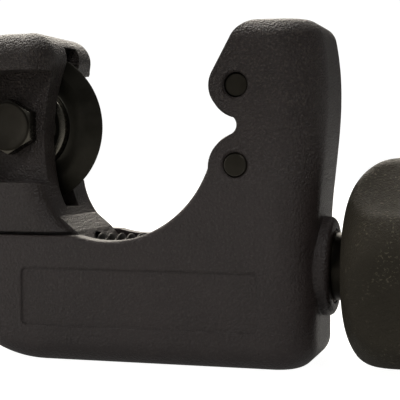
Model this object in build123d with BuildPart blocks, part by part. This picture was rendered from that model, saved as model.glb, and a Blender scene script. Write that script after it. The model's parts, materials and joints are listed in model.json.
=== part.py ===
"""Hand-held pipe cutter: a C-shaped cast frame with two rollers, and a slider that carries
the cutting wheel and is drawn along the frame's channel by a feed screw with a lobed knob.

Millimetres, +Z up. The frame stands on its flat base at Z = 0. The feed screw lies along X
with the knob at the +X end, the pipe lies along Y, and X = 0 is the middle of the length.
"""

import os
from math import cos, pi, radians, sin

from build123d import *

os.makedirs("parts", exist_ok=True)

# ---- driving dimensions -------------------------------------------------------------
half_length = 43.3  # the whole tool is twice this long along X
frame_width = 20.6
half_width = frame_width / 2
screw_z = 13.6  # feed screw axis above the base
pipe_z = 33.05  # axis of the clamped pipe, level with the wheel's axle
frame_top = 47.2

# frame
channel_half = 7.55  # half the gap between the two cheeks
channel_floor = 5.1
wall_top = 17.75
throat_x = -14.1  # centre of the round throat
throat_z = 32.6
throat_r = 15.5
nose_x = -24.0  # where the flat base turns up into the rounded nose
nose_r = 17.3
spine_x = 6.3  # inner wall of the spine beside the screw
pocket_x = 9.3  # inner wall of the spine behind the rollers
pocket_top = 43.4
spine_right = 14.6  # foot of the spine's outer side, which bulges a little higher up
spine_bulge = 15.95
spine_fillet = 5.5
top_fillet = 2.6
base_fillet = 3.2
boss_r = 6.9
boss_face = 16.25
boss_fillet = 0.9
panel_depth = 0.22
panel_x = -9.6  # middle of the panel
panel_z = 9.2
panel_long = 34.2
panel_high = 8.1
rim_fillet = 0.6

stop_x = -30.0  # stop pin in the channel's floor
stop_r = 1.25

# rollers
pin_x = 4.3
pin_spacing = 10.7
lobe_r = 3.65
roller_r = 4.4
roller_half = 7.2
pin_r = 1.7
pin_chamfer = 0.25
fit = 0.05  # radial running fit

# feed screw
screw_r = 4.0
screw_left = -42.5
bush_r = 5.2
clip_x = 4.85
knob_left = 17.6
spindle_r = 3.4
spindle_end = 33.0

# knob
knob_lobes = 5
lobe_centre = 11.2
lobe_round = 4.15
valley_r = 12.3
ridge_angle = 87.0  # one ridge stands 3 degrees off straight up
insert_r = 5.5
cap_r = 7.6

# slider and wheel
wheel_x = -29.55
wheel_r = 11.3
slot_half = 2.45
slot_r = 11.75
slider_half = 9.7
crown_fillet = 3.2
front_fillet = 2.4
foot_half = 7.25
back_r = half_length + wheel_x  # the slider's back is round about the wheel's axle
slider_top = 46.3
body_bottom = 18.2  # underside of the wide body, just above the frame's walls
foot_bottom = 5.4
foot_right = -15.0
recess_r = 7.95
recess_floor = 6.2
axle_r = 2.0
sleeve_r = 2.6
hub_r = 6.4
hub_half = 2.15
opening_travel = 10.5  # slider travel away from the rollers, ended by the stop pin
groove_right = opening_travel + stop_r + 0.05  # stop groove reaches this far from its pin
groove_length = 40.0
bolt_flats = 7.0

SCREW_AXIS = Axis((0, 0, screw_z), (1, 0, 0))


def across(x):
    """Plane square to the feed screw at x, local x along +Y and local y along +Z."""
    return Plane(origin=(x, 0, screw_z), x_dir=(0, 1, 0), z_dir=(1, 0, 0))


def side(y, x=0.0, z=0.0):
    """Plane facing the viewer at y, local x along +X and local y along +Z from (x, z)."""
    return Plane(origin=(x, y, z), x_dir=(1, 0, 0), z_dir=(0, -1, 0))


def save(piece, label):
    """Label a finished piece and write its STEP file."""
    piece.part.label = label
    export_step(piece.part, f"parts/{label}.step")


upper_pin_z = pipe_z + pin_spacing / 2
lower_pin_z = pipe_z - pin_spacing / 2

# ---- frame --------------------------------------------------------------------------
throat_cut_x = throat_x - (throat_r**2 - (throat_z - wall_top) ** 2) ** 0.5
throat_end_x = throat_x + (throat_r**2 - (throat_z - lower_pin_z) ** 2) ** 0.5
notch_x = 4.55
lip = 1.3  # half height of the notch between the two lobes at its mouth
slant = radians(150)  # where the slanted front leaves the upper lobe

with BuildPart() as frame:
    with BuildSketch(Plane.XZ) as block:
        with BuildLine():
            base = Line((nose_x, 0), (spine_right, 0))
            spine = Spline(
                base @ 1,
                (spine_right, 12.0),
                (spine_right + 0.25, 21.5),
                (spine_bulge, 33.5),
                (14.8, frame_top),
            )
            top = Line(spine @ 1, (nose_x - nose_r, frame_top))
            back = Line(top @ 1, (nose_x - nose_r, nose_r))
            RadiusArc(back @ 1, base @ 0, -nose_r)
        make_face()
    extrude(amount=half_width, both=True)
    outer = frame.edges().filter_by(Plane.XZ)
    fillet(outer.filter_by_position(Axis.X, spine_right - 1, half_length), spine_fillet)
    fillet(frame.faces().sort_by(Axis.Z)[-1].edges().sort_by(Axis.X)[1:], top_fillet)
    low_face = frame.faces().sort_by(Axis.Z)[0]
    fillet(low_face.edges().sort_by(Axis.X)[1:], base_fillet)

    with BuildSketch(side(half_width + 1)) as opening:
        with BuildLine():
            rim = Line((-half_length - 1, wall_top), (throat_cut_x, wall_top))
            deep = (throat_x + throat_r / 2, throat_z - throat_r * sin(radians(60)))
            throat = ThreePointArc(rim @ 1, deep, (throat_end_x, lower_pin_z))
            lower = ThreePointArc(throat @ 1, (1.45, lower_pin_z + 2.3), (2.4, pipe_z - 2.1))
            mouth_low = Line(lower @ 1, (3.6, pipe_z - lip))
            notch = ThreePointArc(mouth_low @ 1, (notch_x, pipe_z), (3.6, pipe_z + lip))
            mouth_up = Line(notch @ 1, (2.4, pipe_z + 2.1))
            tip = (pin_x + lobe_r * cos(slant), upper_pin_z + lobe_r * sin(slant))
            upper = ThreePointArc(mouth_up @ 1, (pin_x - lobe_r, upper_pin_z), tip)
            front = Line(upper @ 1, (3.5, 44.6))
            crown = ThreePointArc(front @ 1, (4.9, 46.4), (7.4, frame_top + 0.1))
            Polyline(crown @ 1, (7.4, frame_top + 1), (-half_length - 1, frame_top + 1), rim @ 0)
        make_face()
    extrude(amount=frame_width + 2, mode=Mode.SUBTRACT)
    rims = frame.edges().filter_by(Plane.XZ).filter_by_position(Axis.Z, wall_top - 0.1, wall_top + 2)
    fillet(rims.filter_by_position(Axis.X, throat_cut_x - half_length / 2, 0), rim_fillet)

    with BuildSketch(Plane.XZ) as channel:
        with BuildLine():
            Polyline(
                (-2 * half_length, channel_floor),
                (spine_x, channel_floor),
                (spine_x, lower_pin_z - roller_r - 1.8),
                (pocket_x, lower_pin_z - roller_r + 1.2),
                (pocket_x, pocket_top),
                (-2 * half_length, pocket_top),
                close=True,
            )
        make_face()
        fillet(channel.vertices().group_by(Axis.X)[-1].sort_by(Axis.Y)[-1], 2.0)
    extrude(amount=channel_half, both=True, mode=Mode.SUBTRACT)

    with BuildSketch(across(pocket_x)):
        Circle(boss_r)
    extrude(amount=boss_face - pocket_x)
    fillet(frame.faces().sort_by(Axis.X)[-1].edges(), boss_fillet)

    with BuildSketch(across(0)):
        Circle(bush_r)
    extrude(amount=2 * boss_face, mode=Mode.SUBTRACT)

    for z in (upper_pin_z, lower_pin_z):
        with BuildSketch(side(-half_width, pin_x, z)):
            Circle(pin_r)
        extrude(amount=-frame_width, mode=Mode.SUBTRACT)
    pin_ends = frame.edges().filter_by(GeomType.CIRCLE).filter_by(lambda edge: abs(edge.radius - pin_r) < fit)
    outer_ends = ShapeList(pin_ends.group_by(Axis.Y)[0] + pin_ends.group_by(Axis.Y)[-1])
    chamfer(outer_ends, pin_chamfer)

    with BuildSketch(Plane.XY):
        with Locations((stop_x, 0)):
            Circle(stop_r)
    extrude(amount=channel_floor, mode=Mode.SUBTRACT)

    for y, way in ((-half_width, -1), (half_width, 1)):
        with BuildSketch(side(y, panel_x, panel_z)):
            RectangleRounded(panel_long, panel_high, 0.8)
        extrude(amount=way * panel_depth, mode=Mode.SUBTRACT)
save(frame, "frame")


# ---- pieces fixed in the frame ------------------------------------------------------
bush_length = boss_face - spine_x

with BuildPart() as screw_bush:
    with BuildSketch(across(spine_x)):
        Circle(bush_r)
        Circle(screw_r + fit, mode=Mode.SUBTRACT)
    extrude(amount=bush_length)
    chamfer(screw_bush.edges().filter_by(GeomType.CIRCLE).group_by(Axis.X)[-1], 0.3)
save(screw_bush, "screw_bush")

stop_foot = 1.6
stop_height = foot_bottom + 1.5

with BuildPart() as stop_pin:
    with BuildSketch(Plane.XY.offset(stop_foot)):
        with Locations((stop_x, 0)):
            Circle(stop_r)
    extrude(amount=stop_height - stop_foot)
    chamfer(stop_pin.edges().filter_by(GeomType.CIRCLE), 0.25)
save(stop_pin, "stop_pin")


def roller_pin(z, half):
    """A dowel across both cheeks, chamfered at its ends."""
    with BuildPart() as pin:
        with BuildSketch(side(half, pin_x, z)):
            Circle(pin_r)
        extrude(amount=2 * half)
        chamfer(pin.edges().filter_by(GeomType.CIRCLE), pin_chamfer)
    return pin


save(roller_pin(upper_pin_z, half_width - 0.8), "upper_roller_pin")
save(roller_pin(lower_pin_z, half_width - 0.1), "lower_roller_pin")

# ---- rollers ------------------------------------------------------------------------
groove_half = 1.6
groove_depth = 0.9


def roller(z):
    """A plain roller with a shallow groove at its middle for flared ends."""
    bore = pin_r + fit
    with BuildPart() as wheel:
        with BuildSketch(Plane.XY.offset(z)):
            with BuildLine():
                Polyline(
                    (pin_x + bore, -roller_half),
                    (pin_x + roller_r - 0.4, -roller_half),
                    (pin_x + roller_r, -roller_half + 0.4),
                    (pin_x + roller_r, -groove_half),
                    (pin_x + roller_r - groove_depth, -groove_half + groove_depth),
                    (pin_x + roller_r - groove_depth, groove_half - groove_depth),
                    (pin_x + roller_r, groove_half),
                    (pin_x + roller_r, roller_half - 0.4),
                    (pin_x + roller_r - 0.4, roller_half),
                    (pin_x + bore, roller_half),
                    close=True,
                )
            make_face()
        revolve(axis=Axis((pin_x, 0, z), (0, 1, 0)))
    return wheel


save(roller(upper_pin_z), "upper_roller")
save(roller(lower_pin_z), "lower_roller")

# ---- feed screw and what holds it along X -------------------------------------------
clip_thick = 0.8
clip_groove_r = 3.2
washer_thick = 0.5
washer_gap = 0.05
tapped_r = 1.65
tapped_depth = 9.0
flat_cut = 2.7  # the spindle's drive flat is this far from its axis

with BuildPart() as feed_screw:
    with BuildSketch(across(screw_left)):
        Circle(screw_r)
    extrude(amount=knob_left - screw_left)
    chamfer(feed_screw.edges().filter_by(GeomType.CIRCLE).group_by(Axis.X)[0], 0.8)
    with BuildSketch(across(knob_left)):
        Circle(spindle_r)
        with Locations((0, flat_cut + spindle_r)):
            Rectangle(2 * spindle_r, 2 * spindle_r, mode=Mode.SUBTRACT)
    extrude(amount=spindle_end - knob_left)
    with BuildSketch(across(clip_x)):
        Circle(screw_r + 1)
        Circle(clip_groove_r, mode=Mode.SUBTRACT)
    extrude(amount=clip_thick, mode=Mode.SUBTRACT)
    with BuildSketch(across(spindle_end)):
        Circle(tapped_r)
    extrude(amount=-tapped_depth, mode=Mode.SUBTRACT)
save(feed_screw, "feed_screw")

with BuildPart() as retaining_clip:
    with BuildSketch(across(clip_x + 0.02)):
        Circle(5.6)
        Circle(clip_groove_r + 0.02, mode=Mode.SUBTRACT)
        with Locations((0, -5)):
            Rectangle(3.6, 10, mode=Mode.SUBTRACT)
    extrude(amount=clip_thick - 0.1)
save(retaining_clip, "retaining_clip")

with BuildPart() as clip_washer:
    with BuildSketch(across(clip_x + clip_thick)):
        Circle(6.2)
        Circle(screw_r + fit, mode=Mode.SUBTRACT)
    extrude(amount=spine_x - washer_gap - clip_x - clip_thick)
save(clip_washer, "clip_washer")

with BuildPart() as thrust_washer:
    with BuildSketch(across(boss_face + washer_gap)):
        Circle(4.7)
        Circle(screw_r + fit, mode=Mode.SUBTRACT)
    extrude(amount=knob_left - boss_face - washer_gap)
save(thrust_washer, "thrust_washer")

# ---- knob ---------------------------------------------------------------------------
knob_right = half_length - 0.4
insert_left = knob_left + 0.8
head_x = spindle_end  # under the head of the knob's screw
head_r = 3.6
counterbore_r = head_r + 0.6
plug_depth = 1.6
cap_seat = knob_right - 1.8
pitch = pi / knob_lobes
rise = lobe_centre * cos(pitch)
run = lobe_centre * sin(pitch)
# radius of the hollow that meets two neighbouring lobes smoothly at valley_r
hollow_r = (run**2 + (valley_r - rise) ** 2 - lobe_round**2) / (2 * (lobe_round - valley_r + rise))
ridge_r = lobe_centre + lobe_round

with BuildPart() as knob:
    with BuildSketch(across(knob_left)):
        with PolarLocations(lobe_centre, knob_lobes, start_angle=ridge_angle):
            Circle(lobe_round)
        make_hull()
        with PolarLocations(valley_r + hollow_r, knob_lobes, start_angle=ridge_angle + 180 / knob_lobes):
            Circle(hollow_r, mode=Mode.SUBTRACT)
    extrude(amount=knob_right - knob_left)
    with BuildSketch(Plane.XZ):
        with BuildLine():
            axis_line = Line((knob_right, screw_z), (knob_left, screw_z))
            face = Line(axis_line @ 1, (knob_left, screw_z + 5.2))
            dish = Line(face @ 1, (knob_left + 0.5, screw_z + 7.7))
            shoulder = ThreePointArc(
                dish @ 1, (knob_left + 2.6, screw_z + 12.85), (knob_left + 7.9, screw_z + ridge_r + 0.05)
            )
            body = Line(shoulder @ 1, (knob_right - 4.6, screw_z + ridge_r + 0.05))
            rounded = ThreePointArc(
                body @ 1, (knob_right - 1.3, screw_z + ridge_r - 1.4), (knob_right, screw_z + ridge_r - 4.8)
            )
            Line(rounded @ 1, axis_line @ 0)
        make_face()
    revolve(axis=SCREW_AXIS, mode=Mode.INTERSECT)
    with BuildSketch(across(knob_left - 1)):
        Circle(spindle_r + 0.02)
    extrude(amount=knob_right - knob_left, mode=Mode.SUBTRACT)
    with BuildSketch(across(insert_left)):
        RegularPolygon(insert_r, 6)
    extrude(amount=head_x - insert_left, mode=Mode.SUBTRACT)
    with BuildSketch(across(head_x)):
        Circle(counterbore_r)
    extrude(amount=knob_right - head_x, mode=Mode.SUBTRACT)
    with BuildSketch(across(cap_seat)):
        Circle(cap_r)
    extrude(amount=knob_right - cap_seat, mode=Mode.SUBTRACT)
save(knob, "knob")

with BuildPart() as knob_insert:
    with BuildSketch(across(insert_left)):
        RegularPolygon(insert_r, 6)
    extrude(amount=head_x - insert_left)
    with BuildSketch(across(insert_left)):
        Circle(spindle_r + 0.02)
        with Locations((0, flat_cut + 0.02 + spindle_r)):
            Rectangle(2 * spindle_r, 2 * spindle_r, mode=Mode.SUBTRACT)
    extrude(amount=head_x - insert_left, mode=Mode.SUBTRACT)
save(knob_insert, "knob_insert")

head_height = 2.6

with BuildPart() as knob_screw:
    with BuildSketch(across(head_x)):
        Circle(head_r)
    extrude(amount=head_height)
    fillet(knob_screw.edges().filter_by(GeomType.CIRCLE).group_by(Axis.X)[-1], 0.8)
    with BuildSketch(across(head_x)):
        Circle(tapped_r)
    extrude(amount=-(tapped_depth - 1))
    with BuildSketch(across(head_x + head_height)):
        RegularPolygon(1.5, 6)
    extrude(amount=-1.5, mode=Mode.SUBTRACT)
save(knob_screw, "knob_screw")

with BuildPart() as knob_cap:
    with BuildSketch(Plane.XZ):
        with BuildLine():
            middle = Line((half_length, screw_z), (cap_seat - plug_depth, screw_z))
            plug = Polyline(
                middle @ 1,
                (cap_seat - plug_depth, screw_z + counterbore_r),
                (cap_seat, screw_z + counterbore_r),
                (cap_seat, screw_z + cap_r - fit),
                (knob_right - 0.1, screw_z + cap_r - fit),
            )
            TangentArc(middle @ 0, plug @ 1, tangent=(0, 1))
        make_face()
    revolve(axis=SCREW_AXIS)
save(knob_cap, "knob_cap")

# ---- slider -------------------------------------------------------------------------
face_top = (-22.9, 42.3)
face_deep = (-24.8, pipe_z)
toe_start = (-24.1, 24.4)
toe_end = (-20.1, body_bottom)

with BuildPart() as slider:
    with BuildSketch(Plane.XZ) as body_outline:
        with BuildLine():
            under = Line(toe_end, (-half_length, body_bottom))
            back = Line(under @ 1, (-half_length, slider_top - back_r))
            crown = JernArc(back @ 1, (0, 1), back_r, -90)
            roof = Line(crown @ 1, (-26.9, crown.position_at(1).Y))
            corner = ThreePointArc(roof @ 1, (-24.0, 45.5), face_top)
            face = ThreePointArc(face_top, face_deep, toe_start)
            TangentArc(face @ 1, toe_end, tangent=face % 1)
        make_face()
    extrude(amount=slider_half, both=True)
    high = slider.edges().filter_by(Plane.XZ).filter_by_position(Axis.Z, face_top[1], slider_top + 1)
    fillet(high, crown_fillet)
    flanks = slider.faces().sort_by(Axis.Y)
    front = ShapeList(flanks[0].edges() + flanks[-1].edges())
    front = front.filter_by_position(Axis.X, face_deep[0] - 1, foot_right)
    fillet(front.filter_by(GeomType.CIRCLE), front_fillet)
    for way in (-1, 1):
        with BuildSketch(side(way * recess_floor, wheel_x, pipe_z)):
            Circle(recess_r)
            with Locations((recess_r, 0)):
                Rectangle(2 * recess_r, 2 * recess_r)
        extrude(amount=-way * slider_half, mode=Mode.SUBTRACT)

    with BuildSketch(Plane.XZ):
        with BuildLine():
            Polyline(
                (-half_length, foot_bottom),
                (foot_right, foot_bottom),
                (foot_right, screw_z - 0.6),
                (-19.6, body_bottom + 0.01),
                (-22.0, body_bottom + 2),
                (-half_length, body_bottom + 2),
                close=True,
            )
        make_face()
    extrude(amount=foot_half, both=True)

    with BuildSketch(Plane.XZ):
        with Locations((wheel_x, pipe_z)):
            Circle(slot_r)
            with Locations((slot_r, 0)):
                Rectangle(2 * slot_r, 2 * slot_r - 0.2)
    extrude(amount=slot_half, both=True, mode=Mode.SUBTRACT)

    with BuildSketch(side(slider_half, wheel_x, pipe_z)):
        Circle(axle_r + 0.02)
    extrude(amount=2 * slider_half, mode=Mode.SUBTRACT)
    with BuildSketch(across(-half_length)):
        Circle(screw_r + 0.1)
    extrude(amount=foot_right + half_length, mode=Mode.SUBTRACT)
    with BuildSketch(Plane.XY.offset(foot_bottom)):
        with Locations((stop_x + groove_right - groove_length / 2, 0)):
            Rectangle(groove_length, 2 * (stop_r + 0.35))
    extrude(amount=2.0, mode=Mode.SUBTRACT)
save(slider, "slider")

# ---- wheel and its axle -------------------------------------------------------------
WHEEL_AXIS = Axis((wheel_x, 0, pipe_z), (0, 1, 0))

with BuildPart() as cutter_wheel:
    with BuildSketch(Plane.XY.offset(pipe_z)):
        with BuildLine():
            hub_left = wheel_x + sleeve_r + fit
            half_section = Polyline(
                (hub_left, 0),
                (hub_left, hub_half),
                (wheel_x + hub_r - 0.4, hub_half),
                (wheel_x + hub_r, hub_half - 0.4),
                (wheel_x + hub_r, 0.95),
                (wheel_x + hub_r + 0.3, 0.75),
                (wheel_x + wheel_r - 2.2, 0.7),
                (wheel_x + wheel_r, 0.03),
                (wheel_x + wheel_r, 0),
            )
            mirror(half_section, about=Plane.XZ)
        make_face()
    revolve(axis=WHEEL_AXIS)
save(cutter_wheel, "cutter_wheel")

with BuildPart() as wheel_sleeve:
    with BuildSketch(side(slot_half, wheel_x, pipe_z)):
        Circle(sleeve_r)
        Circle(axle_r, mode=Mode.SUBTRACT)
    extrude(amount=2 * slot_half)
save(wheel_sleeve, "wheel_sleeve")

bolt_end = slider_half - 0.5
bolt_head = 2.4
corner_r = bolt_flats / 2 / cos(pi / 6)

with BuildPart() as wheel_bolt:
    with BuildSketch(side(-recess_floor, wheel_x, pipe_z)):
        RegularPolygon(corner_r, 6, rotation=30)
    extrude(amount=bolt_head)
    with BuildSketch(side(-recess_floor, wheel_x, pipe_z)):
        Circle(axle_r)
    extrude(amount=-(recess_floor + bolt_end))
save(wheel_bolt, "wheel_bolt")

lock_thick = 0.9
nut_height = 2.5

with BuildPart() as lock_washer:
    with BuildSketch(side(recess_floor, wheel_x, pipe_z)):
        Circle(3.5)
        Circle(axle_r + fit, mode=Mode.SUBTRACT)
        with Locations((0, 3)):
            Rectangle(0.6, 6, mode=Mode.SUBTRACT)
    extrude(amount=-lock_thick)
save(lock_washer, "lock_washer")

with BuildPart() as wheel_nut:
    with BuildSketch(side(recess_floor + lock_thick, wheel_x, pipe_z)):
        RegularPolygon(corner_r, 6, rotation=30)
        Circle(axle_r, mode=Mode.SUBTRACT)
    extrude(amount=-nut_height)
save(wheel_nut, "wheel_nut")
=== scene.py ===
"""Looks of a small hand-held pipe cutter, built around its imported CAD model. Metres, in the CAD frame."""

import json
from math import atan2, cos, pi, radians, sin, sqrt, tan

import bmesh
import bpy
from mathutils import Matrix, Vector


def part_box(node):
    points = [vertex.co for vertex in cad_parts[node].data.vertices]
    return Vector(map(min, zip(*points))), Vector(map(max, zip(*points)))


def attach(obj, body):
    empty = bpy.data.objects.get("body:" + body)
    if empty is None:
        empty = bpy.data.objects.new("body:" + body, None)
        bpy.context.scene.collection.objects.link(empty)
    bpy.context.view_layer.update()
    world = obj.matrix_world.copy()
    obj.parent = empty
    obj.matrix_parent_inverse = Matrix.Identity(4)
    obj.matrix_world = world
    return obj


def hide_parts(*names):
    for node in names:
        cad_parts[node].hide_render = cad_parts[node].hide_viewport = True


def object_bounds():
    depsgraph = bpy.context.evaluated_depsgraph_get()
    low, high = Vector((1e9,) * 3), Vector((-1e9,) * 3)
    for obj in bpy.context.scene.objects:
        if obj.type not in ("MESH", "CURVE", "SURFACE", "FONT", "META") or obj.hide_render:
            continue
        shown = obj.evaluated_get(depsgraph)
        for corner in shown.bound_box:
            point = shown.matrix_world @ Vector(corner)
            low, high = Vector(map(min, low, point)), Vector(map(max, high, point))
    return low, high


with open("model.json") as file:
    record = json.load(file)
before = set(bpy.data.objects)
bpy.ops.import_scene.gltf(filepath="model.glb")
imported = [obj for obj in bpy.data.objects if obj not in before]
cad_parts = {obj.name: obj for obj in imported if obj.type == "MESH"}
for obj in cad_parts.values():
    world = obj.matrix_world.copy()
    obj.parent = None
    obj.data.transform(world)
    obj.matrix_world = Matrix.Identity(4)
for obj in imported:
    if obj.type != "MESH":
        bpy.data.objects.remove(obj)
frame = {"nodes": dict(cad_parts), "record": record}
cad_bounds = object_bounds()

MM = 0.001


# ---- node trees ---------------------------------------------------------------------
class Nodes:
    """A short way to write one material's node tree."""

    def __init__(self, name):
        self.material = bpy.data.materials.new(name)
        self.material.use_nodes = True
        self.tree = self.material.node_tree
        self.shader = self.tree.nodes["Principled BSDF"]
        self.coords = self.add("TexCoord").outputs["Object"]

    def feed(self, socket, value):
        """Link a node's output to the socket, or set its own value. A colour comes without its alpha."""
        if hasattr(value, "is_output"):
            self.tree.links.new(value, socket)
        elif socket.type == "RGBA":
            socket.default_value = (*value, 1.0)
        else:
            socket.default_value = value

    def put(self, node, **inputs):
        for key, value in inputs.items():
            self.feed(node.inputs[key.replace("_", " ")], value)

    def add(self, kind, **inputs):
        node = self.tree.nodes.new("ShaderNode" + kind)
        self.put(node, **inputs)
        return node

    def noise(self, scale, detail, rough, stretch=None):
        vector = self.coords
        if stretch:
            vector = self.add("Mapping", Vector=vector, Scale=stretch).outputs["Vector"]
        return self.add("TexNoise", Vector=vector, Scale=scale, Detail=detail, Roughness=rough).outputs["Fac"]

    def cells(self, scale, smooth):
        node = self.add("TexVoronoi")
        node.feature = "SMOOTH_F1"
        self.put(node, Vector=self.coords, Scale=scale, Smoothness=smooth)
        return node.outputs["Distance"]

    def spread(self, value, low, high, to_low=0.0, to_high=1.0):
        """The value's stretch from low to high, mapped to to_low up to to_high."""
        node = self.add("MapRange", Value=value, From_Min=low, From_Max=high, To_Min=to_low, To_Max=to_high)
        return node.outputs["Result"]

    def math(self, kind, a, b):
        node = self.add("Math")
        node.operation = kind
        for socket, value in zip(node.inputs, (a, b)):
            self.feed(socket, value)
        return node.outputs["Value"]

    def times(self, first, *others):
        for other in others:
            first = self.math("MULTIPLY", first, other)
        return first

    def blend(self, a, share_a, b, share_b):
        return self.math("ADD", self.times(a, share_a), self.times(b, share_b))

    def vector_math(self, kind, *values, result="Vector"):
        node = self.add("VectorMath")
        node.operation = kind
        for socket, value in zip(node.inputs, values):
            self.feed(socket, value)
        return node.outputs[result]

    def mix(self, factor, a, b):
        """The colour a, going over to b as the factor goes from 0 to 1."""
        node = self.add("Mix")
        node.data_type = "RGBA"
        for socket, value in ((node.inputs["Factor"], factor), (node.inputs[6], a), (node.inputs[7], b)):
            self.feed(socket, value)
        return node.outputs[2]

    def bump(self, height, strength, distance, normal):
        node = self.add("Bump", Height=height, Strength=strength, Distance=distance, Normal=normal)
        return node.outputs["Normal"]

    def rounded(self, radius):
        """Normals that round the sharp edges off."""
        node = self.add("Bevel", Radius=radius)
        node.samples = 6
        return node.outputs["Normal"]

    def edges(self, radius):
        """1 along sharp edges, 0 elsewhere, from how far the rounded normal leans."""
        normal = self.add("NewGeometry").outputs["Normal"]
        lean = self.vector_math("DOT_PRODUCT", normal, self.rounded(radius), result="Value")
        return self.spread(lean, 0.995, 0.85)

    def ring(self, centre, inner, outer):
        """1 between two radii round the Y axis through centre, 0 elsewhere, with a soft border."""
        border = 0.1 * MM
        offset = self.vector_math("SUBTRACT", self.coords, centre)
        flat = self.vector_math("MULTIPLY", offset, (1.0, 0.0, 1.0))
        far = self.vector_math("LENGTH", flat, result="Value")
        return self.times(self.spread(far, inner, inner + border), self.spread(far, outer, outer - border))

    def surface(self, **inputs):
        self.put(self.shader, **inputs)
        return self.material


# ---- materials ----------------------------------------------------------------------
def powder_coat(name, dark, light, radius):
    """Black wrinkle-finish powder coat: close-set bumps, a painted warm highlight on the grain towards the
    top, edges worn pale by handling.
    """
    # the second of these colours is a painted warm highlight on the grain towards the top, standing in for
    # light grazing the head
    crest_colour, top_highlight_colour, worn_colour = (0.058, 0.048, 0.043), (0.125, 0.103, 0.08), (0.11, 0.096, 0.088)
    top_ramp_start, top_ramp_full = 24 * MM, 45 * MM
    m = Nodes(name)
    wrinkle = m.cells(scale=2900.0, smooth=0.3)
    fine = m.noise(scale=5200.0, detail=3.0, rough=0.62)
    blotch = m.noise(scale=150.0, detail=3.0, rough=0.55)
    above_base = m.add("SeparateXYZ", Vector=m.coords).outputs["Z"]
    # height ramp up to the head: it strengthens the relief and sets where the painted highlight is laid
    relief_and_highlight_to_top = m.spread(above_base, top_ramp_start, top_ramp_full)
    crests = m.spread(m.noise(scale=2900.0, detail=2.0, rough=0.7), 0.52, 0.68)
    patches = m.spread(m.noise(scale=420.0, detail=3.0, rough=0.6), 0.42, 0.62)
    worn = m.times(m.edges(0.25 * MM), patches)
    relief = m.times(m.blend(wrinkle, 0.8, fine, 0.8), m.math("ADD", m.times(relief_and_highlight_to_top, 2.4), 0.55))
    colour = m.mix(m.spread(blotch, 0.3, 0.7), dark, light)
    colour = m.mix(m.times(crests, 0.5), colour, crest_colour)
    # painted highlight: warm, paler grain that rises towards the top
    colour = m.mix(m.times(crests, relief_and_highlight_to_top, 0.45), colour, top_highlight_colour)
    colour = m.mix(m.times(worn, 0.3), colour, worn_colour)
    rough = m.spread(m.blend(fine, 0.6, blotch, 0.4), 0.3, 0.7, to_low=0.32, to_high=0.5)
    normal = m.bump(relief, strength=1.0, distance=0.22 * MM, normal=m.rounded(radius))
    return m.surface(Base_Color=colour, Roughness=rough, Normal=normal, Specular_IOR_Level=0.38)


def moulded(name, dark, light, specular, depth):
    """Black moulded plastic with a spark-eroded grain and patches of dust specks."""
    speck_colour = (0.15, 0.132, 0.096)
    m = Nodes(name)
    grain = m.noise(scale=3000.0, detail=3.0, rough=0.65)
    blotch = m.noise(scale=90.0, detail=3.0, rough=0.5)
    specks = m.spread(m.noise(scale=2700.0, detail=2.0, rough=0.7), 0.58, 0.68)
    patches = m.spread(m.noise(scale=210.0, detail=3.0, rough=0.6), 0.42, 0.6)
    colour = m.mix(m.spread(blotch, 0.3, 0.7), dark, light)
    colour = m.mix(m.times(specks, patches, 0.85), colour, speck_colour)
    rough = m.spread(m.noise(scale=700.0, detail=4.0, rough=0.6), 0.3, 0.7, to_low=0.44, to_high=0.6)
    normal = m.bump(grain, strength=1.0, distance=depth, normal=m.rounded(0.3 * MM))
    return m.surface(Base_Color=colour, Roughness=rough, Normal=normal, Specular_IOR_Level=specular)


def steel(name, dark, light, rough_low, rough_high, stretch=(1.0, 1.0, 1.0), polish_and_highlight=None, edge_highlight=0.6):
    """Machined steel: fine tool lines, darker stains, a painted highlight along the edges and, if asked, a
    ring of lower roughness, as polish gives, whose colour is a painted highlight.

    The ring is given as (centre, inner radius, outer radius, share), about the Y axis through centre.
    """
    # the colour is a painted highlight for the ring; the lower roughness is the ring's real polish
    ring_highlight_colour, polish_rough = (0.16, 0.15, 0.125), 0.65
    edge_radius = 0.12 * MM
    m = Nodes(name)
    lines = m.noise(scale=2500.0, detail=2.0, rough=0.6, stretch=stretch)
    stain = m.noise(scale=260.0, detail=4.0, rough=0.6)
    colour = m.mix(m.spread(stain, 0.3, 0.7), dark, light)
    # painted highlight: a paler colour along sharp edges, standing in for light the edges catch; the share
    # sets how much
    edge_highlight_colour = tuple(min(1.0, 2.2 * channel + 0.04) for channel in light)
    colour = m.mix(m.times(m.edges(edge_radius), edge_highlight), colour, edge_highlight_colour)
    rough = m.spread(m.blend(lines, 0.5, stain, 0.5), 0.3, 0.7, rough_low, rough_high)
    if polish_and_highlight:
        *place, share = polish_and_highlight
        ring = m.ring(*place)
        # painted highlight: the ring is paler, as if lit, as well as smoother
        colour = m.mix(m.times(ring, share), colour, ring_highlight_colour)
        rough = m.times(rough, m.spread(ring, 0.0, 1.0, to_low=1.0, to_high=polish_rough))
    normal = m.bump(lines, strength=0.35, distance=0.02 * MM, normal=m.rounded(edge_radius))
    return m.surface(Base_Color=colour, Roughness=rough, Normal=normal, Metallic=1.0)


wheel_low, wheel_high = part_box("cutter_wheel")
AXLE = (wheel_low + wheel_high) / 2
# rings on the wheel's hub and on the bolt head's corners: a painted highlight in the colour, real polish in
# the roughness
HUB_POLISH_AND_HIGHLIGHT = (AXLE, 5.4 * MM, 6.5 * MM, 0.9)
BOLT_POLISH_AND_HIGHLIGHT = (AXLE, 3.4 * MM, 4.4 * MM, 0.45)
BLACK_OXIDE = ((0.0155, 0.0138, 0.0108), (0.0275, 0.0248, 0.02), 0.32, 0.46)
HARDENED = ((0.024, 0.0225, 0.0178), (0.038, 0.0355, 0.029), 0.34, 0.48)
TURNED = ((0.05, 0.046, 0.042), (0.085, 0.08, 0.074), 0.3, 0.46)

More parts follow.
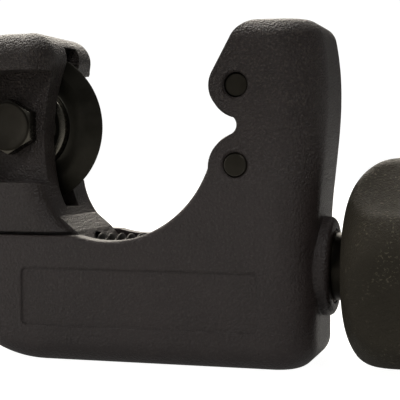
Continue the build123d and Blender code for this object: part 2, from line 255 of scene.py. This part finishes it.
BY_SLOT = {
    "frame_coat": powder_coat("frame_coat", (0.0245, 0.0183, 0.017), (0.0325, 0.0245, 0.023), 0.45 * MM),
    "slider_coat": powder_coat("slider_coat", (0.0215, 0.0162, 0.0145), (0.0295, 0.0225, 0.0203), 0.35 * MM),
    "knob_plastic": moulded(
        "knob_plastic", (0.0305, 0.0262, 0.0182), (0.044, 0.038, 0.0272), specular=0.14, depth=0.34 * MM
    ),
    "cap_plastic": moulded(
        "cap_plastic", (0.0085, 0.008, 0.0066), (0.0115, 0.0105, 0.0088), specular=0.35, depth=0.03 * MM
    ),
    "black_steel": steel("black_steel", *BLACK_OXIDE),
    "wheel_steel": steel("wheel_steel", *HARDENED, polish_and_highlight=HUB_POLISH_AND_HIGHLIGHT),
    "roller_steel": steel("roller_steel", *TURNED, stretch=(1.0, 6.0, 1.0)),
    "plain_steel": steel("plain_steel", (0.35, 0.34, 0.32), (0.55, 0.54, 0.52), 0.25, 0.4),
    "bronze": steel("bronze", (0.05, 0.036, 0.022), (0.08, 0.056, 0.034), 0.4, 0.55),
    "brass": steel("brass", (0.5, 0.36, 0.14), (0.65, 0.5, 0.24), 0.25, 0.4),
}
BOLT_STEEL = steel("bolt_steel", *BLACK_OXIDE, polish_and_highlight=BOLT_POLISH_AND_HIGHLIGHT)
# the pins get the full painted edge highlight, a ring of light round their chamfers
PIN_STEEL = steel("pin_steel", (0.026, 0.0232, 0.018), (0.042, 0.038, 0.031), 0.36, 0.5, edge_highlight=1.0)
# the screw's steel: darker than the other black steel, with little edge highlight
SCREW_STEEL = steel("darkest_screw_steel", (0.009, 0.0082, 0.007), (0.016, 0.0145, 0.012), 0.45, 0.6, edge_highlight=0.15)

slot_of = {s["node"]: s["material_slot"] for s in frame["record"]["subparts"]}
for node, obj in frame["nodes"].items():
    for material_slot in obj.material_slots:
        material_slot.material = PIN_STEEL if node.endswith("roller_pin") else BY_SLOT[slot_of[node]]


# ---- mesh tools ---------------------------------------------------------------------
def piece(name, bm, node, body, sharp, material=None):
    """Turn a bmesh into a piece that stands for a CAD node and rides on its body."""
    bmesh.ops.remove_doubles(bm, verts=bm.verts, dist=1e-7)
    bmesh.ops.recalc_face_normals(bm, faces=bm.faces)
    mesh = bpy.data.meshes.new(name)
    bm.to_mesh(mesh)
    bm.free()
    mesh.shade_smooth()
    mesh.set_sharp_from_angle(angle=radians(sharp))
    obj = bpy.data.objects.new(name, mesh)
    bpy.context.scene.collection.objects.link(obj)
    mesh.materials.append(material or BY_SLOT[slot_of[node]])
    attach(obj, body)
    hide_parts(node)


def around(centre, axis, along, radius, steps):
    """A ring of points round the line through centre along X or Y.

    radius may be a function of the angle, and along a function of the radius at that angle.
    """
    ring = []
    for i in range(steps):
        angle = 2 * pi * i / steps
        r = radius(angle) if callable(radius) else radius
        out = along(r) if callable(along) else along
        across, up = r * cos(angle), r * sin(angle)
        ring.append(centre + Vector((out, across, up) if axis == "X" else (across, out, up)))
    return ring


def turned(profile, centre, axis, steps):
    """Rings of a body of revolution, whose profile holds (along, radius) pairs."""
    return [around(centre, axis, along, radius, steps) for along, radius in profile]


def loft(bm, rings, closed_ends=True):
    """Faces between rings of equal length, each a list of points round an axis."""
    rows = [[bm.verts.new(point) for point in ring] for ring in rings]
    count = len(rows[0])
    for low, high in zip(rows, rows[1:]):
        for i in range(count):
            k = (i + 1) % count
            bm.faces.new((low[i], low[k], high[k], high[i]))
    if closed_ends:
        for row in (rows[0], rows[-1]):
            bm.faces.new(row)


def line(p, q, count):
    """Points that part the line from p to q in equal steps, from the first step up to q."""
    return [(p[0] + (q[0] - p[0]) * i / count, p[1] + (q[1] - p[1]) * i / count) for i in range(1, count + 1)]


def arc(p, q, r, count):
    """Points of the circle through p, q and r, from p to r."""
    ax, ay, bx, by, cx, cy = *p, *q, *r
    a2, b2, c2 = ax**2 + ay**2, bx**2 + by**2, cx**2 + cy**2
    d = 2 * (ax * (by - cy) + bx * (cy - ay) + cx * (ay - by))
    ux = (a2 * (by - cy) + b2 * (cy - ay) + c2 * (ay - by)) / d
    uy = (a2 * (cx - bx) + b2 * (ax - cx) + c2 * (bx - ax)) / d
    radius = sqrt((ax - ux) ** 2 + (ay - uy) ** 2)
    start, mid, end = (atan2(y - uy, x - ux) for x, y in (p, q, r))
    sweep = (end - start + pi) % (2 * pi) - pi
    if not (0 <= ((mid - start) / sweep) <= 1):
        sweep += 2 * pi if sweep < 0 else -2 * pi
    steps = [start + sweep * i / count for i in range(count + 1)]
    return [(ux + radius * cos(s), uy + radius * sin(s)) for s in steps]


def soft_least(a, b, k):
    """The smaller of two lengths, blended over k where they meet."""
    h = max(k - abs(a - b), 0.0) / k
    return min(a, b) - h * h * k / 4


def thread_cut(turns):
    """Depth of a thread's groove, 0 on its crest up to 1, at a place counted in turns along the helix."""
    crest_flat, flank = 0.12, 0.76
    from_crest = abs(2 * (turns % 1.0) - 1)
    return max(0.0, min(1.0, (from_crest - crest_flat) / flank))


# ---- knob ---------------------------------------------------------------------------
screw_low, screw_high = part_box("feed_screw")
SCREW = Vector((0, 0, (screw_low.z + screw_high.z) / 2))
LOBES = 5
LOBE_CENTRE = 11.1 * MM
LOBE_R = 4.15 * MM
VALLEY_R = 12.3 * MM
RIDGE = radians(87)  # where one lobe's ridge points, from +Y towards +Z

# each valley is a hollow arc that touches the round lobes on both sides
half_pitch = pi / LOBES
rise, run = LOBE_CENTRE * cos(half_pitch), LOBE_CENTRE * sin(half_pitch)
HOLLOW_R = (run**2 + (VALLEY_R - rise) ** 2 - LOBE_R**2) / (2 * (LOBE_R - VALLEY_R + rise))
HOLLOW_CENTRE = VALLEY_R + HOLLOW_R
lobe_at = Vector((LOBE_CENTRE, 0))
hollow_at = Vector((HOLLOW_CENTRE * cos(half_pitch), HOLLOW_CENTRE * sin(half_pitch)))
touch = lobe_at + (hollow_at - lobe_at).normalized() * LOBE_R
TOUCH_ANGLE = atan2(touch.y, touch.x)


def lobed(angle):
    """Radius of the knob's five-lobed section at an angle."""
    off = abs((angle - RIDGE + half_pitch) % (2 * half_pitch) - half_pitch)
    if off < TOUCH_ANGLE:
        return LOBE_CENTRE * cos(off) + sqrt(max(0.0, LOBE_R**2 - (LOBE_CENTRE * sin(off)) ** 2))
    off = half_pitch - off
    return HOLLOW_CENTRE * cos(off) - sqrt(HOLLOW_R**2 - (HOLLOW_CENTRE * sin(off)) ** 2)


def knob_section(radius):
    """Radius of the knob's ring at this radius of its outline: round near the axis, lobed farther out."""
    lobes_from, blend = 9 * MM, 0.9 * MM
    if radius <= lobes_from:
        return radius
    return lambda angle: soft_least(radius, lobed(angle), blend)


def build_knob():
    """The grip: a flat face to the boss, a domed shoulder, a straight part, a round end and the cap's well."""
    low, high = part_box("knob")
    left, right = low.x, high.x
    top = LOBE_CENTRE + LOBE_R
    grip_r, end_r, well_r = top + 0.05 * MM, top - 4.8 * MM, 7.58 * MM
    grip_start, grip_end = left + 7.9 * MM, right - 4.6 * MM
    face = [(left, 3.5 * MM), (left, 5.0 * MM), (left + 0.06 * MM, 5.35 * MM), (left + 0.3 * MM, 6.9 * MM)]
    shoulder = arc((left + 0.5 * MM, 7.7 * MM), (left + 2.6 * MM, 12.85 * MM), (grip_start, grip_r), count=40)
    straight = line((grip_start, grip_r), (grip_end, grip_r), count=24)[:-1]
    end = arc((grip_end, grip_r), (right - 1.3 * MM, top - 1.4 * MM), (right, end_r), count=24)
    back = line((right, end_r), (right, well_r + 0.02 * MM), count=6)
    well = [(right - 0.2 * MM, well_r), (right - 1.5 * MM, well_r)]
    outline = face + shoulder + straight + end + back + well
    bm = bmesh.new()
    loft(bm, [around(SCREW, "X", x, knob_section(r), steps=240) for x, r in outline], closed_ends=False)
    piece("knob_grip", bm, "knob", "screw", sharp=40.0)


# ---- feed screw ---------------------------------------------------------------------
def build_screw():
    """The feed screw with its real helical thread, run out before the clip's groove."""
    pitch, depth = 1.5 * MM, 0.82 * MM
    lead_in, run_out, tip_drop = 1.1 * MM, 1.4 * MM, 0.9 * MM
    spindle_r, groove_r, chamfer = 3.38 * MM, 3.2 * MM, 0.4 * MM
    steps = 48
    radius = (screw_high.z - screw_low.z) / 2
    clip_low, clip_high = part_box("retaining_clip")
    groove_start, groove_end = clip_low.x - 0.02 * MM, clip_high.x + 0.05 * MM
    thread_end = clip_low.x - 2.2 * MM
    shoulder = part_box("thrust_washer")[1].x

    def thread_r(x):
        crest = radius - tip_drop * (1 - min(1.0, (x - screw_low.x) / lead_in))
        groove = depth * max(0.0, min(1.0, (thread_end - x) / run_out))
        return lambda angle: min(crest, radius - groove * thread_cut(x / pitch - angle / (2 * pi)))

    rings = []
    x = screw_low.x
    while x < thread_end:
        rings.append(around(SCREW, "X", x, thread_r(x), steps))
        x += pitch / 12
    plain = [(thread_end, radius), (groove_start, radius), (groove_start, groove_r)]
    plain += [(groove_end, groove_r), (groove_end, radius), (shoulder, radius), (shoulder, spindle_r)]
    plain += [(screw_high.x - chamfer, spindle_r), (screw_high.x, spindle_r - chamfer)]
    bm = bmesh.new()
    loft(bm, rings + turned(plain, SCREW, "X", steps))
    piece("feed_screw_threaded", bm, "feed_screw", "screw", sharp=40.0, material=SCREW_STEEL)


# ---- wheel, bolt and nut ------------------------------------------------------------
def build_wheel():
    """The cutting wheel: a hub with a shallow turned ring in each face, a ground web and a honed edge."""
    edge = (wheel_high.z - wheel_low.z) / 2 / MM
    hub = (wheel_high.y - wheel_low.y) / 2 / MM
    bore_r, ease = 2.65, 0.25
    ring_inner, ring_outer, ring_slope, ring_depth = 4.55, 5.25, 0.15, 0.14
    hub_r, web = 6.0, 0.74
    # one side's (half thickness, radius) pairs in millimetres, from the bore out to the edge
    side = [(0.0, bore_r), (hub - ease, bore_r), (hub, bore_r + ease), (hub, ring_inner)]
    side += [(hub - ring_depth, ring_inner + ring_slope), (hub - ring_depth, ring_outer - ring_slope)]
    side += [(hub, ring_outer), (hub, hub_r), (hub - 0.1, hub_r + 0.25), (hub - 0.4, hub_r + 0.4)]
    side += [(1.25, hub_r + 0.42), (0.95, hub_r + 0.55), (0.82, hub_r + 0.85), (0.76, hub_r + 1.4)]
    side += [(web, edge - 3.2), (0.7, edge - 2.5), (0.62, edge - 2.25), (0.2, edge - 0.55), (0.02, edge)]
    profile = [(-y * MM, r * MM) for y, r in side] + [(y * MM, r * MM) for y, r in reversed(side[1:])]
    bm = bmesh.new()
    loft(bm, turned(profile + [profile[0]], AXLE, "Y", steps=180), closed_ends=False)
    piece("cutting_wheel", bm, "cutter_wheel", "wheel", sharp=35.0)


FLATS = 7.0 * MM
HEX_STEPS = 144


def hexagon_r(angle):
    """Distance from the axis to a hexagon's side, its corners eased. Two of its flats face +X and -X."""
    off = abs((angle + pi / 6) % (pi / 3) - pi / 6)
    corner = FLATS / 2 / cos(pi / 6)
    return soft_least(FLATS / 2 / cos(off), corner - 0.03 * MM, 0.12 * MM)


def hexagon_rings(seat, top, crown_r):
    """Rings of a hexagonal head along Y, from its seat over the chamfered corners to its flat crown's rim."""
    way = 1 if top > seat else -1
    seat_r, ease, slope = 0.9 * FLATS / 2, 0.1 * MM, tan(radians(28))

    def crown_y(r):
        return top - way * max(0.0, r - crown_r) * slope

    def under_chamfer(r):
        return crown_y(r + ease) - way * ease

    def inward(share):
        return lambda angle: crown_r + (hexagon_r(angle) - ease / 2 - crown_r) * share

    rings = [around(AXLE, "Y", seat, seat_r, HEX_STEPS), around(AXLE, "Y", seat, hexagon_r, HEX_STEPS)]
    rings.append(around(AXLE, "Y", under_chamfer, hexagon_r, HEX_STEPS))
    for share in (0.985, 0.95, 0.75, 0.5, 0.25, 0.0):
        rings.append(around(AXLE, "Y", crown_y, inward(share), HEX_STEPS))
    return rings


def build_bolt():
    """The wheel's bolt: a hexagonal head with a shallow dimple, and a shank threaded where the nut sits."""
    low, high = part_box("wheel_bolt")
    seat = -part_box("lock_washer")[0].y
    thread_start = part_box("wheel_nut")[0].y
    crown_r, dimple = 0.93 * FLATS / 2, 0.12 * MM
    shank_r, pitch, depth, tip, steps = 1.985 * MM, 0.7 * MM, 0.3 * MM, 0.25 * MM, 40
    # the dimple, as shares of the crown's radius and how far each sinks
    crown = [(0.94, 0.0), (0.8, dimple / 2), (0.6, dimple), (0.3, dimple), (0.02, dimple)]
    crown_outline = [(low.y + sink, crown_r * share) for share, sink in crown]
    bm = bmesh.new()
    loft(bm, hexagon_rings(seat, low.y, crown_r) + turned(crown_outline, AXLE, "Y", HEX_STEPS))

    def shank_at(y):
        if y <= thread_start:
            return shank_r
        return lambda angle: shank_r - depth * thread_cut(y / pitch - angle / (2 * pi))

    rings = []
    y = seat
    while y < high.y - tip:
        rings.append(around(AXLE, "Y", y, shank_at(y), steps))
        y += pitch / 8 if y > thread_start - 0.2 * MM else 0.5 * MM
    loft(bm, rings + turned([(high.y - tip, 1.9 * MM), (high.y, 1.6 * MM)], AXLE, "Y", steps))
    piece("wheel_bolt_hex", bm, "wheel_bolt", "slider", sharp=30.0, material=BOLT_STEEL)


def build_nut():
    """The bolt's nut: a hexagonal ring with a countersunk bore."""
    low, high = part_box("wheel_nut")
    crown_r, bore_r, sink_r, sink_depth = 0.92 * FLATS / 2, 2.02 * MM, 2.5 * MM, 0.35 * MM
    bore = [(high.y, sink_r), (high.y - sink_depth, bore_r), (low.y, bore_r)]
    rings = hexagon_rings(low.y, high.y, crown_r) + turned(bore, AXLE, "Y", HEX_STEPS)
    bm = bmesh.new()
    loft(bm, rings + [rings[0]], closed_ends=False)
    piece("wheel_nut_hex", bm, "wheel_nut", "slider", sharp=30.0)


build_knob()
build_screw()
build_wheel()
build_bolt()
build_nut()


# ---- stage --------------------------------------------------------------------------
# the floor and the world are brighter to the camera than to reflections, for a clean white background
GLOW_TO_CAMERA, GLOW_TO_OTHERS = 0.985, 0.2
WORLD_TO_CAMERA, WORLD_TO_OTHERS = 1.05, 0.075
STAGE_WHITE = (1.0, 1.0, 0.995)


def floor_material():
    m = Nodes("studio_floor")
    tone = m.noise(scale=3.0, detail=2.0, rough=0.5)
    colour = m.mix(tone, (0.3, 0.3, 0.298), (0.28, 0.28, 0.278))
    to_camera = m.add("LightPath").outputs["Is Camera Ray"]
    glow = m.spread(to_camera, 0.0, 1.0, GLOW_TO_OTHERS, GLOW_TO_CAMERA)
    return m.surface(Base_Color=colour, Roughness=0.85, Emission_Color=STAGE_WHITE, Emission_Strength=glow)


def build_floor():
    bm = bmesh.new()
    bmesh.ops.create_grid(bm, x_segments=8, y_segments=8, size=6.0)
    mesh = bpy.data.meshes.new("studio_floor")
    bm.to_mesh(mesh)
    bm.free()
    floor_object = bpy.data.objects.new("studio_floor", mesh)
    bpy.context.scene.collection.objects.link(floor_object)
    mesh.materials.append(floor_material())
    floor_object.location.z = cad_bounds[0][2] - 0.02 * MM


def area_light(name, place, target, size, watts, colour=(1.0, 1.0, 1.0)):
    light = bpy.data.lights.new(name, "AREA")
    light.shape = "RECTANGLE"
    light.size, light.size_y = size
    light.energy = watts
    light.color = colour
    obj = bpy.data.objects.new(name, light)
    bpy.context.scene.collection.objects.link(obj)
    obj.location = place
    obj.rotation_euler = (Vector(target) - Vector(place)).to_track_quat("-Z", "Y").to_euler()


def build_world():
    world = bpy.data.worlds.new("studio")
    bpy.context.scene.world = world
    world.use_nodes = True
    tree = world.node_tree
    background = tree.nodes["Background"]
    seen = tree.nodes.new("ShaderNodeLightPath")
    strength = tree.nodes.new("ShaderNodeMapRange")
    strength.inputs["To Min"].default_value = WORLD_TO_OTHERS
    strength.inputs["To Max"].default_value = WORLD_TO_CAMERA
    tree.links.new(seen.outputs["Is Camera Ray"], strength.inputs["Value"])
    tree.links.new(strength.outputs["Result"], background.inputs["Strength"])
    background.inputs["Color"].default_value = (*STAGE_WHITE, 1.0)


def build_camera(place, towards, lens):
    camera_data = bpy.data.cameras.new("camera")
    camera_data.lens = lens
    camera_data.sensor_width = 36.0
    camera_data.clip_start = 0.01
    camera = bpy.data.objects.new("camera", camera_data)
    bpy.context.scene.collection.objects.link(camera)
    camera.location = place
    camera.rotation_euler = Vector(towards).to_track_quat("-Z", "Y").to_euler()
    bpy.context.scene.camera = camera


MIDDLE = (0.0, 0.0, 0.03)
LOWER_MIDDLE = (0.0, 0.0, 0.02)

build_floor()
area_light("top_softbox", (-0.24, 0.14, 0.55), LOWER_MIDDLE, (0.4, 0.3), watts=3.7, colour=(1.0, 0.96, 0.9))
area_light("back_panel", (-0.42, 0.55, 0.5), MIDDLE, (0.9, 0.5), watts=8.5, colour=(1.0, 0.93, 0.82))
area_light("right_key", (0.22, -0.3, 0.46), MIDDLE, (0.08, 0.08), watts=0.9)
area_light("left_fill", (-0.45, -0.42, 0.12), LOWER_MIDDLE, (0.5, 0.4), watts=0.95)
build_world()
build_camera(place=(0.0438, -0.1647, 0.0295), towards=(-0.2754, 0.9605, -0.0405), lens=107.7)
bpy.context.scene.view_settings.view_transform = "Standard"
